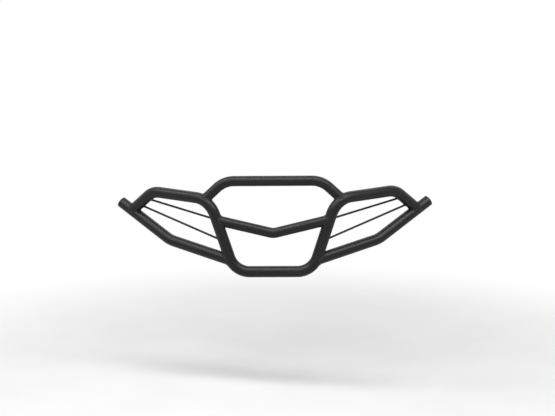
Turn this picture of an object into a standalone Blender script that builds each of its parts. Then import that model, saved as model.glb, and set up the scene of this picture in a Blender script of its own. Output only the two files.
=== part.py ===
"""Front bumper for an ATV: round steel tubes, bent, coped and welded into one frame.

Metres, +Z up. The front faces -Y and the vehicle is at +Y. The origin is on the centre plane, on
the line through the two lower fixing holes, just behind the bottom bar. Left is -X and right is
+X, as seen by someone who stands in front of the bumper. Every piece on the right is modelled
first, and its twin on the left is its mirror image.
"""

import math

import bmesh
import bpy
from mathutils import Matrix, Vector

# Stock
MAIN_OD = 0.042
MAIN_WALL = 0.002
BRACE_OD = 0.038
BRACE_WALL = 0.002
ROD_OD = 0.008
WELD_GAP = 0.0003

# Centre frame, measured from the axis of the bottom bar
BOTTOM_HALF = 0.144
BOTTOM_BEND = 0.078
SHOULDER_HALF = 0.232
SHOULDER_RISE = 0.271
SHOULDER_BEND = 0.083

# Top hoop: its legs land on the shoulder bends, at this share of the bend from the upright
HOOP_HALF = 0.178
HOOP_RISE = 0.336
HOOP_BEND = 0.093
HOOP_LANDING = 0.67

# V crossbar between the uprights
V_END_RISE = 0.194
V_TIP_RISE = 0.144
V_BEND = 0.050

# Upper wing: from the shoulder to the elbow, swept back in plan
ELBOW_HALF = 0.456
ELBOW_RISE = 0.281
ELBOW_BEND = 0.085
UPPER_SWEEP = math.radians(30)

# Lower wing tube: from its root on the upright to the knee and on to its open end
ROOT_RISE = 0.044
KNEE_HALF = 0.393
KNEE_RISE = 0.099
KNEE_BEND = 0.120
INNER_SWEEP = math.radians(25)
TIP_HALF = 0.5885
TIP_RISE = 0.225
OUTER_SWEEP = math.radians(29)
TIP_OVERRUN = 0.055

# Wing rods: rise of the inner end on the upright, and distance of the outer end up the leg's axis
ROD_ENDS = {"upper": (0.196, 0.091), "lower": (0.115, 0.046)}

# Lower fixing lugs, welded behind the bottom bar just inside its bends
HOLE_BACK = 0.050
HOLE_DROP = 0.012
LUG_INSET = 0.006
LUG_THICK = 0.006
LUG_NOSE = 0.019
LUG_GRIP = math.radians(55)
LUG_HOLE = 0.0105

# Upper fixing tabs, welded behind the uprights
TAB_RISE = 0.145
TAB_LENGTH = 0.066
TAB_DEPTH = 0.036
TAB_CORNER = 0.010
PLATE_THICK = 0.005
BOLT_PITCH = 0.034
BOLT_BACK = 0.020

# Upper brackets, folded from strap and bolted to the tabs' inner sides, with feet turned outwards
BRACKET_HEIGHT = 0.056
BRACKET_START = 0.006
BRACKET_REACH = 0.082
BRACKET_FOOT = 0.034
BRACKET_FOLD = 0.0075
BRACKET_CORNER = 0.006
SLOT_LENGTH = 0.020

# M8 fasteners
BOLT_D = 0.008
BOLT_CLEARANCE = 0.0005
BOLT_SPARE = 0.002
HEX_FLATS = 0.013
HEAD_HEIGHT = 0.0053
NUT_HEIGHT = 0.0065
COLLAR_HEIGHT = 0.0015
COLLAR_D = 0.0115
WASHER_OD = 0.016
WASHER_THICK = 0.0016
SEAT_GAP = 0.0003

# End plugs, pushed into the open ends of the lower wing tubes
PLUG_FLANGE = 0.0022
PLUG_DOME = 0.0045
PLUG_DEPTH = 0.018
PLUG_SKIN = 0.0022
PLUG_RIBS = 2
PLUG_RIB_HEIGHT = 0.0030
PLUG_RIB_WIDTH = 0.0014

# Mesh fineness
BEND_STEP = math.radians(10.5)
MAIN_SIDES = 24
BRACE_SIDES = 20
ROD_SIDES = 10
BOLT_SIDES = 12
PLUG_SIDES = 20

MAIN_R = MAIN_OD / 2
BRACE_R = BRACE_OD / 2
BOLT_HOLE = BOLT_D + 2 * BOLT_CLEARANCE
MATERIALS = {
    "powder_coat": ((0.020, 0.021, 0.022, 1), 0.48, 0.0),
    "black_plastic": ((0.014, 0.014, 0.015, 1), 0.60, 0.0),
    "zinc_steel": ((0.42, 0.42, 0.40, 1), 0.38, 1.0),
}


def mirrored(point):
    return Vector((-point.x, point.y, point.z))


def from_bar(x, back, rise):
    """A point given from the middle of the bottom bar's axis."""
    return Vector((x, back - HOLE_BACK, rise + HOLE_DROP))


def toward(start, end, distance):
    return start + (end - start).normalized() * distance


def bend(before, corner, after, radius):
    """Points on the arc that rounds a corner of a tube's axis."""
    back = (before - corner).normalized()
    ahead = (after - corner).normalized()
    half = back.angle(ahead) / 2
    turn = math.pi - 2 * half
    centre = corner + (back + ahead).normalized() * (radius / math.sin(half))
    spoke = corner + back * (radius / math.tan(half)) - centre
    axis = back.cross(spoke)
    steps = max(3, round(turn / BEND_STEP))
    return [centre + Matrix.Rotation(turn * k / steps, 3, axis) @ spoke for k in range(steps + 1)]


def bent_path(corners, radii):
    path = [corners[0]]
    for before, corner, after, radius in zip(corners, corners[1:], corners[2:], radii):
        path += bend(before, corner, after, radius)
    return path + [corners[-1]]


def both_sides(half_path):
    """The whole path, left to right, of which the half from the centre plane is given."""
    return [mirrored(point) for point in reversed(half_path[1:])] + half_path[1:]


# The frame's corner points, on the tubes' axes
BAR_MIDDLE = from_bar(0, 0, 0)
BOTTOM = from_bar(BOTTOM_HALF, 0, 0)
SHOULDER = from_bar(SHOULDER_HALF, 0, SHOULDER_RISE)
UP = (SHOULDER - BOTTOM).normalized()
ELBOW_BACK = (ELBOW_HALF - SHOULDER_HALF) * math.tan(UPPER_SWEEP)
ELBOW = from_bar(ELBOW_HALF, ELBOW_BACK, ELBOW_RISE)


def on_upright(rise):
    """The point on the right upright's axis at a height above the bottom bar."""
    return BOTTOM + UP * (rise / UP.z)


ROOT = on_upright(ROOT_RISE)
KNEE_BACK = (KNEE_HALF - (ROOT.x - BAR_MIDDLE.x)) * math.tan(INNER_SWEEP)
KNEE = from_bar(KNEE_HALF, KNEE_BACK, KNEE_RISE)
TIP_BACK = KNEE_BACK + (TIP_HALF - KNEE_HALF) * math.tan(OUTER_SWEEP)
TIP = from_bar(TIP_HALF, TIP_BACK, TIP_RISE)
LEG_FOOT = toward(TIP, KNEE, TIP_OVERRUN)

MAIN_HALF = bent_path(
    [BAR_MIDDLE, BOTTOM, SHOULDER, ELBOW, LEG_FOOT], [BOTTOM_BEND, SHOULDER_BEND, ELBOW_BEND]
)
MAIN_PATH = both_sides(MAIN_HALF)


def on_leg(distance):
    """The point on the right leg's axis, its bend included, at a distance from the leg's foot."""
    leg_up = MAIN_HALF[::-1]
    for start, end in zip(leg_up, leg_up[1:]):
        length = (end - start).length
        if distance <= length:
            break
        distance -= length
    return toward(start, end, distance)


def hoop_path():
    """The hoop's axis: a flat bar, two bends, and legs that end on the main tube's axis."""
    shoulder_arc = bend(BOTTOM, SHOULDER, ELBOW, SHOULDER_BEND)
    place = HOOP_LANDING * (len(shoulder_arc) - 1)
    first = int(place)
    foot = shoulder_arc[first].lerp(shoulder_arc[first + 1], place - first)
    corner = Vector((HOOP_HALF, foot.y, HOOP_RISE + HOLE_DROP))
    middle = Vector((0, corner.y, corner.z))
    return both_sides(bent_path([middle, corner, foot], [HOOP_BEND]))


def clear_scene():
    for obj in list(bpy.data.objects):
        bpy.data.objects.remove(obj, do_unlink=True)


def make_collection(name):
    collection = bpy.data.collections.new(name)
    bpy.context.scene.collection.children.link(collection)
    return collection


def make_material(name):
    color, roughness, metallic = MATERIALS[name]
    material = bpy.data.materials.new(name)
    material.use_nodes = True
    shader = material.node_tree.nodes["Principled BSDF"]
    shader.inputs["Base Color"].default_value = color
    shader.inputs["Roughness"].default_value = roughness
    shader.inputs["Metallic"].default_value = metallic
    material.diffuse_color = color
    return material


clear_scene()
PARTS = make_collection("atv_front_bumper")
CUTTERS = make_collection("cutters")
BUMPER = bpy.data.objects.new("bumper_origin", None)
PARTS.objects.link(BUMPER)


def weld_mesh(mesh):
    shape = bmesh.new()
    shape.from_mesh(mesh)
    bmesh.ops.remove_doubles(shape, verts=shape.verts, dist=1e-6)
    bmesh.ops.recalc_face_normals(shape, faces=shape.faces)
    shape.to_mesh(mesh)
    shape.free()


def evaluated_mesh(obj):
    bpy.context.view_layer.update()
    graph = bpy.context.evaluated_depsgraph_get()
    return bpy.data.meshes.new_from_object(obj.evaluated_get(graph))


def curve_to_mesh(name, curve):
    """A mesh object, not yet in the scene's part list, from a curve's bevel or extrusion."""
    guide = bpy.data.objects.new(name + "_guide", curve)
    CUTTERS.objects.link(guide)
    mesh = evaluated_mesh(guide)
    bpy.data.objects.remove(guide)
    bpy.data.curves.remove(curve)
    mesh.name = name
    weld_mesh(mesh)
    return bpy.data.objects.new(name, mesh)


def add_part(obj, material, matrix=None, smooth=True):
    """Put a finished piece in the part's collection, with its own material and shading."""
    if matrix is not None:
        obj.matrix_world = matrix
    obj.data.materials.clear()
    own = make_material(material)
    own.name = f"{obj.name}_{material}"
    obj.data.materials.append(own)
    if smooth:
        obj.data.shade_smooth()
        obj.data.set_sharp_from_angle(angle=math.radians(35))
    PARTS.objects.link(obj)
    obj.parent = BUMPER
    return obj


def add_cutter(obj):
    obj.hide_render = True
    obj.display_type = "WIRE"
    CUTTERS.objects.link(obj)
    return obj


def mirror_part(right):
    """The left-hand twin of a finished right-hand piece."""
    mesh = evaluated_mesh(right)
    mesh.transform(Matrix.Diagonal((-1, 1, 1, 1)) @ right.matrix_world)
    mesh.flip_normals()
    left = bpy.data.objects.new(right.name.replace("_right", "_left"), mesh)
    PARTS.objects.link(left)
    left.parent = BUMPER
    return left


def cut(obj, cutter):
    boolean = obj.modifiers.new(cutter.name, "BOOLEAN")
    boolean.operation = "DIFFERENCE"
    boolean.solver = "EXACT"
    boolean.object = cutter


def round_bar(name, path, radius, sides, filled):
    """A round section swept along a path; filled bars have flat ends, the others are open."""
    curve = bpy.data.curves.new(name, "CURVE")
    curve.dimensions = "3D"
    curve.bevel_depth = radius
    curve.bevel_resolution = (sides - 4) // 2
    curve.use_fill_caps = filled
    spline = curve.splines.new("POLY")
    spline.points.add(len(path) - 1)
    for point, place in zip(spline.points, path):
        point.co = (*place, 1)
    return curve_to_mesh(name, curve)


def hollow_tube(name, path, radius, wall, sides, cutters):
    """A tube of true wall thickness, its ends coped by the given cutters."""
    tube = round_bar(name, path, radius, sides, filled=False)
    solidify = tube.modifiers.new("wall", "SOLIDIFY")
    solidify.thickness = wall
    solidify.offset = -1
    for cutter in cutters:
        cut(tube, cutter)
    return add_part(tube, "powder_coat")


def tube_cutter(name, path, radius):
    """The space that a tube takes up, with the weld gap round it."""
    return add_cutter(round_bar(name, path, radius + WELD_GAP, MAIN_SIDES, filled=True))


def build_frame_tubes():
    main_space = tube_cutter("main_space", MAIN_PATH, MAIN_R)
    wing_space = tube_cutter("wing_space_right", [KNEE, TIP], MAIN_R)
    wing_space_left = tube_cutter("wing_space_left", [mirrored(KNEE), mirrored(TIP)], MAIN_R)
    corner_path = bent_path([BAR_MIDDLE, BOTTOM, SHOULDER], [BOTTOM_BEND])
    corner_space = tube_cutter("corner_space", corner_path, MAIN_R)

    hollow_tube("main_tube", MAIN_PATH, MAIN_R, MAIN_WALL, MAIN_SIDES, [wing_space, wing_space_left])
    hollow_tube("top_hoop", hoop_path(), BRACE_R, BRACE_WALL, BRACE_SIDES, [main_space])

    v_end = on_upright(V_END_RISE)
    v_path = bent_path([mirrored(v_end), from_bar(0, 0, V_TIP_RISE), v_end], [V_BEND])
    hollow_tube("v_crossbar", v_path, BRACE_R, BRACE_WALL, BRACE_SIDES, [main_space])

    wing_path = bent_path([ROOT, KNEE, TIP], [KNEE_BEND])
    name = "lower_wing_tube_right"
    mirror_part(hollow_tube(name, wing_path, MAIN_R, MAIN_WALL, MAIN_SIDES, [corner_space]))

    for level, (rise, distance) in ROD_ENDS.items():
        ends = [on_upright(rise), on_leg(distance)]
        rod = round_bar(f"wing_rod_{level}_right", ends, ROD_OD / 2, ROD_SIDES, filled=True)
        cut(rod, main_space)
        mirror_part(add_part(rod, "powder_coat"))


def turned(name, profile, sides, closed):
    """Turn a profile of (radius, height) points about Z. It runs down its outer side."""
    mesh = bpy.data.meshes.new(name)
    shape = bmesh.new()
    points = [shape.verts.new((radius, 0, height)) for radius, height in profile]
    for start, end in zip(points, points[1:] + points[:1] if closed else points[1:]):
        shape.edges.new((start, end))
    shape.to_mesh(mesh)
    shape.free()
    obj = bpy.data.objects.new(name, mesh)
    screw = obj.modifiers.new("turn", "SCREW")
    screw.axis = "Z"
    screw.steps = screw.render_steps = sides
    screw.use_merge_vertices = True
    screw.merge_threshold = 0.00001
    return obj


def plug_profile():
    """The outline of a ribbed tube plug: low dome, flange on the tube's end, ribs, hollow inside."""
    rib_r = MAIN_R - MAIN_WALL - WELD_GAP
    body_r = rib_r - PLUG_RIB_HEIGHT
    inner_r = body_r - PLUG_SKIN
    top = WELD_GAP + PLUG_FLANGE + PLUG_DOME
    outline = [(0, top), (MAIN_R * 0.55, top - PLUG_DOME * 0.3)]
    outline += [(MAIN_R * 0.88, WELD_GAP + PLUG_FLANGE), (MAIN_R, WELD_GAP + PLUG_FLANGE * 0.4)]
    outline += [(MAIN_R, WELD_GAP), (body_r, WELD_GAP)]
    pitch = PLUG_DEPTH / (PLUG_RIBS + 1)
    for rib in range(1, PLUG_RIBS + 1):
        high = -rib * pitch + PLUG_RIB_WIDTH
        outline += [(body_r, high), (rib_r, high - PLUG_RIB_WIDTH / 3)]
        outline += [(rib_r, high - PLUG_RIB_WIDTH), (body_r, high - PLUG_RIB_WIDTH * 1.6)]
    return outline + [(body_r, -PLUG_DEPTH), (inner_r, -PLUG_DEPTH), (inner_r, 0), (0, 0)]


def build_end_plugs():
    plug = turned("end_plug_right", plug_profile(), PLUG_SIDES, closed=False)
    outward = (TIP - KNEE).to_track_quat("Z", "Y")
    add_part(plug, "black_plastic", Matrix.LocRotScale(TIP, outward, None))
    mirror_part(plug)


def arc_2d(centre, radius, start, end, steps):
    angles = [start + (end - start) * k / steps for k in range(steps + 1)]
    return [centre + Vector((math.cos(a), math.sin(a))) * radius for a in angles]


def circle_2d(centre, diameter, sides=16):
    return arc_2d(centre, diameter / 2, 0, math.tau * (1 - 1 / sides), sides - 1)


def slot_2d(centre, width, length):
    """A slot that runs along local Y."""
    run = Vector((0, (length - width) / 2))
    upper = arc_2d(centre + run, width / 2, 0, math.pi, 6)
    return upper + arc_2d(centre - run, width / 2, math.pi, math.tau, 6)


def flat_plate(name, outlines, thick):
    """A plate in local XY, centred on its thickness. Outlines after the first are holes in it."""
    curve = bpy.data.curves.new(name, "CURVE")
    curve.dimensions = "2D"
    curve.fill_mode = "BOTH"
    curve.extrude = thick / 2
    for outline in outlines:
        spline = curve.splines.new("POLY")
        spline.points.add(len(outline) - 1)
        spline.use_cyclic_u = True
        for point, place in zip(spline.points, outline):
            point.co = (*place, 0, 1)
    return curve_to_mesh(name, curve)


def axes_matrix(place, x_axis, y_axis):
    """The matrix that puts local X and Y along the given directions at a place."""
    columns = (x_axis, y_axis, x_axis.cross(y_axis))
    return Matrix.Translation(place) @ Matrix(columns).transposed().to_4x4()


def build_lower_lugs():
    """Upright plates that point backwards from the bar, each with a round nose and one hole."""
    bar = Vector((-HOLE_BACK, HOLE_DROP))
    aim = math.atan2(-HOLE_DROP, HOLE_BACK)
    hole = Vector((0, 0))
    nose = arc_2d(hole, LUG_NOSE, aim - math.pi / 2, aim + math.pi / 2, 12)
    grip = arc_2d(bar, MAIN_R + WELD_GAP, aim + LUG_GRIP, aim - LUG_GRIP, 8)
    lug = flat_plate("lower_lug_right", [nose + grip, circle_2d(hole, LUG_HOLE)], LUG_THICK)
    bend_start = MAIN_HALF[1].x
    lug_x = bend_start - LUG_INSET - LUG_THICK / 2
    place = axes_matrix(Vector((lug_x, 0, 0)), Vector((0, 1, 0)), Vector((0, 0, 1)))
    mirror_part(add_part(lug, "powder_coat", place, smooth=False))


def tab_outline():
    front = MAIN_R + WELD_GAP
    rear = front + TAB_DEPTH - TAB_CORNER
    high = TAB_LENGTH / 2 - TAB_CORNER
    lower = arc_2d(Vector((rear, -high)), TAB_CORNER, -math.pi / 2, 0, 4)
    upper = arc_2d(Vector((rear, high)), TAB_CORNER, 0, math.pi / 2, 4)
    square = [Vector((front, TAB_LENGTH / 2)), Vector((front, -TAB_LENGTH / 2))]
    return square + lower + upper


def bolt_places():
    """Bolt centres in the tab's own plane: local X is backwards, local Y is up the upright."""
    return {"upper": BOLT_PITCH / 2, "lower": -BOLT_PITCH / 2}


# Heights along a bolt, from the middle of the tab's thickness
BRACKET_MIDDLE = -PLATE_THICK - SEAT_GAP
HEAD_WASHER = BRACKET_MIDDLE - PLATE_THICK / 2 - SEAT_GAP - WASHER_THICK
HEAD_TOP = HEAD_WASHER - SEAT_GAP
NUT_WASHER = PLATE_THICK / 2 + SEAT_GAP
NUT_SEAT = NUT_WASHER + WASHER_THICK + SEAT_GAP
NUT_TOP = NUT_SEAT + NUT_HEIGHT + COLLAR_HEIGHT


def folded_bracket(name):
    """A strap inside the tab with a foot folded outwards behind it. Sizes are at mid thickness."""
    start = Vector((MAIN_R + BRACKET_START, 0, BRACKET_MIDDLE))
    fold = Vector((BRACKET_REACH, 0, BRACKET_MIDDLE))
    end = fold + Vector((0, 0, BRACKET_FOOT - PLATE_THICK / 2))
    path = [start] + bend(start, fold, end, BRACKET_FOLD) + [end]
    shape = bmesh.new()
    low = Vector((0, -BRACKET_HEIGHT / 2, 0))
    points = [shape.verts.new(place + low) for place in path]
    edges = [shape.edges.new(pair) for pair in zip(points, points[1:])]
    raised = bmesh.ops.extrude_edge_only(shape, edges=edges)["geom"]
    tops = [item for item in raised if isinstance(item, bmesh.types.BMVert)]
    bmesh.ops.translate(shape, verts=tops, vec=(0, BRACKET_HEIGHT, 0))
    corners = [vert for vert in shape.verts if len(vert.link_edges) == 2]
    bmesh.ops.bevel(
        shape, geom=corners, offset=BRACKET_CORNER, segments=3, profile=0.5, affect="VERTICES", material=-1
    )
    mesh = bpy.data.meshes.new(name)
    shape.to_mesh(mesh)
    shape.free()
    bracket = bpy.data.objects.new(name, mesh)
    solidify = bracket.modifiers.new("strap", "SOLIDIFY")
    solidify.thickness = PLATE_THICK
    solidify.offset = 0
    solidify.use_even_offset = True
    return bracket


def plate_cutter(name, outline, matrix):
    """A punch four plates thick, for a hole in a plate that is not flat."""
    punch = flat_plate(name, [outline], PLATE_THICK * 4)
    punch.matrix_world = matrix
    return add_cutter(punch)


def hex_prism(shape, across_flats, low, high):
    made = bmesh.ops.create_cone(
        shape,
        cap_ends=True,
        segments=6,
        radius1=across_flats / math.sqrt(3),
        radius2=across_flats / math.sqrt(3),
        depth=high - low,
        matrix=Matrix.Translation((0, 0, (low + high) / 2)),
    )
    return made["verts"]


def round_prism(shape, diameter, low, high, sides=BOLT_SIDES):
    made = bmesh.ops.create_cone(
        shape,
        cap_ends=True,
        segments=sides,
        radius1=diameter / 2,
        radius2=diameter / 2,
        depth=high - low,
        matrix=Matrix.Translation((0, 0, (low + high) / 2)),
    )
    return made["verts"]


def object_from(name, maker, *sizes):
    shape = bmesh.new()
    maker(shape, *sizes)
    mesh = bpy.data.meshes.new(name)
    shape.to_mesh(mesh)
    shape.free()
    return bpy.data.objects.new(name, mesh)


def join(obj, other):
    boolean = obj.modifiers.new(other.name, "BOOLEAN")
    boolean.operation = "UNION"
    boolean.solver = "EXACT"
    boolean.object = add_cutter(other)


def hex_bolt(name):
    bolt = object_from(name, hex_prism, HEX_FLATS, HEAD_TOP - HEAD_HEIGHT, HEAD_TOP)
    shank = (BOLT_D, HEAD_TOP - HEAD_HEIGHT / 2, NUT_TOP + BOLT_SPARE)
    join(bolt, object_from(name + "_shank", round_prism, *shank))
    return bolt


def lock_nut(name):
    bore = BOLT_D + 2 * SEAT_GAP
    nut = object_from(name, hex_prism, HEX_FLATS, NUT_SEAT, NUT_SEAT + NUT_HEIGHT)
    collar = (COLLAR_D, NUT_SEAT + NUT_HEIGHT / 2, NUT_TOP)
    join(nut, object_from(name + "_collar", round_prism, *collar))
    thread = (bore, NUT_SEAT - PLATE_THICK, NUT_TOP + PLATE_THICK)
    cut(nut, add_cutter(object_from(name + "_thread", round_prism, *thread)))
    return nut


def washer(name, seat):
    bore_r = BOLT_D / 2 + SEAT_GAP
    outer_r = WASHER_OD / 2
    top = seat + WASHER_THICK
    profile = [(outer_r, top), (outer_r, seat), (bore_r, seat), (bore_r, top)]
    return turned(name, profile, BOLT_SIDES, closed=True)


def move_fastener(obj, matrix):
    """Fasteners are modelled round Z; a cutter that shapes one moves with it."""
    for modifier in obj.modifiers:
        if modifier.type == "BOOLEAN":
            modifier.object.matrix_world = matrix
    mirror_part(add_part(obj, "zinc_steel", matrix, smooth=False))


def build_upper_fixings():
    tab_plane = axes_matrix(on_upright(TAB_RISE), Vector((0, 1, 0)), UP)
    back = MAIN_R + BOLT_BACK
    centres = {level: Vector((back, up)) for level, up in bolt_places().items()}

    holes = [circle_2d(centre, BOLT_HOLE) for centre in centres.values()]
    tab = flat_plate("upper_tab_right", [tab_outline()] + holes, PLATE_THICK)
    mirror_part(add_part(tab, "powder_coat", tab_plane, smooth=False))

    bracket = folded_bracket("upper_bracket_right")
    for level, hole in zip(centres, holes):
        cut(bracket, plate_cutter(f"bolt_punch_{level}", hole, tab_plane))
    foot_middle = BRACKET_MIDDLE + (BRACKET_FOLD + BRACKET_FOOT - PLATE_THICK / 2) / 2
    foot_place = Matrix.Translation((BRACKET_REACH, 0, foot_middle))
    foot_plane = tab_plane @ foot_place @ Matrix.Rotation(math.radians(90), 4, "Y")
    slot = slot_2d(Vector((0, 0)), BOLT_HOLE, SLOT_LENGTH)
    cut(bracket, plate_cutter("foot_punch", slot, foot_plane))
    mirror_part(add_part(bracket, "powder_coat", tab_plane, smooth=False))

    for level, centre in centres.items():
        bolt_line = tab_plane @ Matrix.Translation((centre.x, centre.y, 0))
        move_fastener(hex_bolt(f"bolt_{level}_right"), bolt_line)
        move_fastener(washer(f"head_washer_{level}_right", HEAD_WASHER), bolt_line)
        move_fastener(washer(f"nut_washer_{level}_right", NUT_WASHER), bolt_line)
        move_fastener(lock_nut(f"lock_nut_{level}_right"), bolt_line)


build_frame_tubes()
build_end_plugs()
build_lower_lugs()
build_upper_fixings()
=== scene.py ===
"""The ATV front bumper as it looks: bent and welded tube, powder coated black, with its fixings.

Metres, in the frame's own axes: +Z up, the front faces -Y. The right half is +X. Every piece of
the frame is drawn again here: tubes with smooth bends, rods, plates with softened rims, end plugs
and real fasteners. Weld beads are added at the joints.
"""

import math

import bmesh
import bpy
from mathutils import Matrix, Vector
from mathutils.bvhtree import BVHTree


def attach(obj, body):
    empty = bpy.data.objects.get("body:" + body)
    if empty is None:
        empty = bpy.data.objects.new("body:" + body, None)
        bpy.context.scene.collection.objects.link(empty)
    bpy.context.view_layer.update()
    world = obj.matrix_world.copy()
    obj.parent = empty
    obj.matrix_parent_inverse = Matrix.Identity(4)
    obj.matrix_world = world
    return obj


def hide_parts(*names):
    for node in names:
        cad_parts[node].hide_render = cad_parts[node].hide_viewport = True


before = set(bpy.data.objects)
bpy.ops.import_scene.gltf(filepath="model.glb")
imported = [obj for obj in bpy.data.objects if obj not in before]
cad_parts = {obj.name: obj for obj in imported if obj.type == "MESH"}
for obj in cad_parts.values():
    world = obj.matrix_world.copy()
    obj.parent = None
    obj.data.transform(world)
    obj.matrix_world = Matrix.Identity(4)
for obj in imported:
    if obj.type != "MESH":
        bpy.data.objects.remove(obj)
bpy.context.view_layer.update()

# Tubes and rods
MAIN_R = 0.021
BRACE_R = 0.019
ROD_R = 0.004
WALL = 0.002

# The gap between pieces that sit on each other
SEAT_GAP = 0.0003

# Centre frame, measured from the axis of the bottom bar
HOLE_BACK = 0.050
HOLE_DROP = 0.012
BOTTOM_HALF = 0.144
BOTTOM_BEND = 0.078
SHOULDER_HALF = 0.232
SHOULDER_RISE = 0.271
SHOULDER_BEND = 0.083
HOOP_HALF = 0.178
HOOP_RISE = 0.336
HOOP_BEND = 0.093
HOOP_LANDING = 0.67
V_END_RISE = 0.194
V_TIP_RISE = 0.144
V_BEND = 0.050

# Wings
ELBOW_HALF = 0.456
ELBOW_RISE = 0.281
ELBOW_BEND = 0.085
UPPER_SWEEP = math.radians(30)
ROOT_RISE = 0.044
KNEE_HALF = 0.393
KNEE_RISE = 0.099
KNEE_BEND = 0.120
INNER_SWEEP = math.radians(25)
TIP_HALF = 0.5885
TIP_RISE = 0.225
OUTER_SWEEP = math.radians(29)
TIP_OVERRUN = 0.055
ROD_ENDS = {"upper": (0.196, 0.091), "lower": (0.115, 0.046)}

# Fixing plates
LUG_INSET = 0.006
LUG_THICK = 0.006
LUG_NOSE = 0.019
LUG_GRIP = math.radians(55)
LUG_HOLE_R = 0.00525
TAB_RISE = 0.145
TAB_LENGTH = 0.066
TAB_DEPTH = 0.036
TAB_CORNER = 0.010
PLATE_THICK = 0.005
PLATE_EDGE = 0.0006
PLATE_SINK = 0.0005
BOLT_PITCH = 0.034
BOLT_BACK = 0.020
BRACKET_HEIGHT = 0.056
BRACKET_START = 0.006
BRACKET_REACH = 0.082
BRACKET_FOOT = 0.034
BRACKET_FOLD = 0.0075
BRACKET_CORNER = 0.006
SLOT_LENGTH = 0.020

# M8 fasteners
BOLT_R = 0.004
HOLE_R = 0.0045
THREAD_PITCH = 0.00125
THREAD_DEPTH = 0.00065
THREAD_FLANK = THREAD_PITCH * 0.45
THREAD_RUN_OUT = 1.1 * THREAD_PITCH
THREAD_SINK = 0.0001
BOLT_SPARE = 0.002
HEX_FLATS = 0.013
CHAMFER_R = 0.0062
HEAD_HEIGHT = 0.0053
NUT_HEIGHT = 0.0065
COLLAR_HEIGHT = 0.0015
COLLAR_R = 0.00575
WASHER_R = 0.008
WASHER_THICK = 0.0016
WASHER_EDGE = WASHER_THICK / 5
BORE_R = BOLT_R + SEAT_GAP
RING_BORE_R = BOLT_R + SEAT_GAP / 3
COLLAR_WIDTH = COLLAR_R - BORE_R
COLLAR_ROUNDING = COLLAR_WIDTH * 0.4
COLLAR_LIP = COLLAR_WIDTH * 0.6
CHAMFER_ANGLE = math.radians(30)

# End plugs
PLUG_FLANGE = 0.0022
PLUG_DOME = 0.0045
PLUG_DOME_R = MAIN_R * 0.90
PLUG_DOME_POWER = 1.3
PLUG_DEPTH = 0.018
PLUG_EDGE = 0.0006
PLUG_SKIN = 0.0022
PLUG_RIBS = 2
PLUG_RIB_HEIGHT = 0.003
PLUG_RIB_WIDTH = 0.0014
PLUG_RIB_LEAD = PLUG_RIB_WIDTH / 3
PLUG_RIB_FOOT = PLUG_RIB_WIDTH * 1.6

# Weld beads
BEAD_R = 0.0034
ROD_BEAD_R = 0.0021
PLATE_BEAD_R = 0.0027
BEAD_FLATNESS = 0.72
BEAD_LEAN = math.radians(24)
BEAD_WANDER = 0.04
BEAD_WANDER_PACE = 0.41
BEAD_TIP = 0.35
RIPPLE_PITCH = 0.0026
RIPPLE_RISE = 0.16

# Angles from which an edge shows as sharp, or gets a softened rim
SHARP_ANGLE = math.radians(32)
BEAD_SHARP_ANGLE = math.radians(70)
RIM_ANGLE = math.radians(40)

# Colours, and the part of a noise's range that spreads from the one to the other
COAT_DARK = (0.005, 0.005, 0.006)
COAT_LIGHT = (0.008, 0.008, 0.009)
# The weld's lighter tone is a painted highlight for the light that the bead catches, spread in
# places by a noise
WELD_PAINTED_HIGHLIGHT = (0.014, 0.014, 0.015)
PLASTIC_DARK = (0.009, 0.009, 0.010)
PLASTIC_LIGHT = (0.013, 0.013, 0.014)
ZINC_DARK = (0.40, 0.41, 0.41)
ZINC_LIGHT = (0.62, 0.63, 0.62)
NYLON_DARK = (0.52, 0.50, 0.44)
NYLON_LIGHT = (0.60, 0.58, 0.52)
NOISE_LOW = 0.3
NOISE_HIGH = 0.7

# Stage
FLOOR_DROP = 0.45
FLOOR_RADIUS = 60
FLOOR_SIDES = 96
FLOOR_DARK = (0.84, 0.84, 0.84)
FLOOR_LIGHT = (0.88, 0.88, 0.88)
FLOOR_SEEN = 0.9
FLOOR_FADED = 2.2
ROOM_LIGHT = 0.10
LAMP_AIM = (0, 0, 0.15)
KEY_PLACE = (-0.25, -1.0, 3.4)
KEY_SIZE = (8.4, 0.7)
KEY_POWER = 160
FRONT_PLACE = (-0.25, -2.5, 2.9)
FRONT_SIZE = (8.4, 0.7)
FRONT_POWER = 108
BACK_PLACE = (0.6, 3.2, 3.2)
BACK_SIZE = (5.0, 0.8)
BACK_POWER = 25

# Camera, in the photograph's frame of 555 by 416 pixels
CAMERA_PLACE = (0.108, -3.950, 0.938)
CAMERA_PITCH = math.radians(10)
CAMERA_YAW = math.radians(1.345)
CAMERA_ROLL = math.radians(-0.519)
LENS = 70.38
SENSOR_WIDTH = 36

# The turn from one bolt's head to the next, so that no two stand alike
WRENCH_STOP = math.radians(17)

# Fineness
THREAD_STEPS = 24
TUBE_SIDES = 72
ROD_SIDES = 28
BEND_STEP = math.radians(2.5)
FEWEST_BEND_STEPS = 4
JOINT_PLACES = 180
ROD_JOINT_PLACES = 48
EASE_ROUNDS = 6
FEWEST_RIPPLES = 2
STATIONS_PER_RIPPLE = 4
BEAD_SIDES = 10
LUG_WELD_STEPS = 24
TAB_WELD_STEPS = 8
HOLE_SIDES = 48
FASTENER_SIDES = 48
PLUG_DOME_STEPS = 8
PLUG_EDGE_STEPS = 5
PLATE_ARC_STEP = math.radians(6)
PLATE_CORNER_STEPS = 6
RIM_STEPS = 2
FOLD_STEPS = 10

# How far a cope looks for the tube that it meets, and how near points and heights count as one
COPE_REACH = 0.06
MERGE = 1e-5
FINE_MERGE = 1e-6
HEIGHT_DIGITS = 6


def from_bar(x, back, rise):
    """A point given from the middle of the bottom bar's axis."""
    return Vector((x, back - HOLE_BACK, rise + HOLE_DROP))


def mirrored(point):
    return Vector((-point.x, point.y, point.z))


def toward(start, end, distance):
    return start + (end - start).normalized() * distance


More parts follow.
